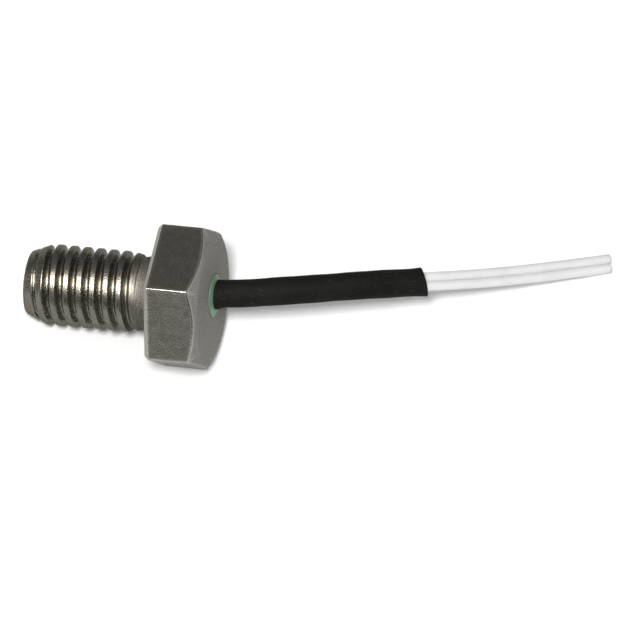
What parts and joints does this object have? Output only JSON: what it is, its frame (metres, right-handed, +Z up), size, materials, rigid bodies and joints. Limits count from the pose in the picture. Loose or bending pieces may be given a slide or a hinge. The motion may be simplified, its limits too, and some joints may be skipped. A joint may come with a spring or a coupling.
{
  "type": "temperature probe",
  "caption": "Screw-in temperature probe: a short hexagon-head bolt with a sensing element potted inside and a sleeved lead of thin insulated wires leaving the head.",
  "frame": {"origin": "on the table under the middle of the bolt's own box, the lead left out", "axes": "+X from the thread's tip towards the head and its lead, +Z up from the table it lies on"},
  "size_m": [0.0417, 0.0207, 0.0105],
  "materials": {
    "bolt_steel": "satin",
    "green_resin": "gloss",
    "chip_ceramic": "matte",
    "bead_coating": "gloss",
    "tinned_metal": "satin",
    "joint_tube": "satin",
    "white_insulation": "satin",
    "black_sleeve": "satin"
  },
  "bodies": {
    "root": {"bolt_body": "bolt_steel", "potting_resin": "green_resin", "thermistor_chip": "chip_ceramic", "thermistor_coating": "bead_coating", "element_lead_1": "tinned_metal", "element_lead_2": "tinned_metal", "solder_joint_1": "tinned_metal", "solder_joint_2": "tinned_metal", "joint_sleeve_1": "joint_tube", "joint_sleeve_2": "joint_tube", "wire_conductor_1": "tinned_metal", "wire_conductor_2": "tinned_metal", "wire_insulation_1": "white_insulation", "wire_insulation_2": "white_insulation", "shrink_sleeve": "black_sleeve"}
  },
  "joints": []
}
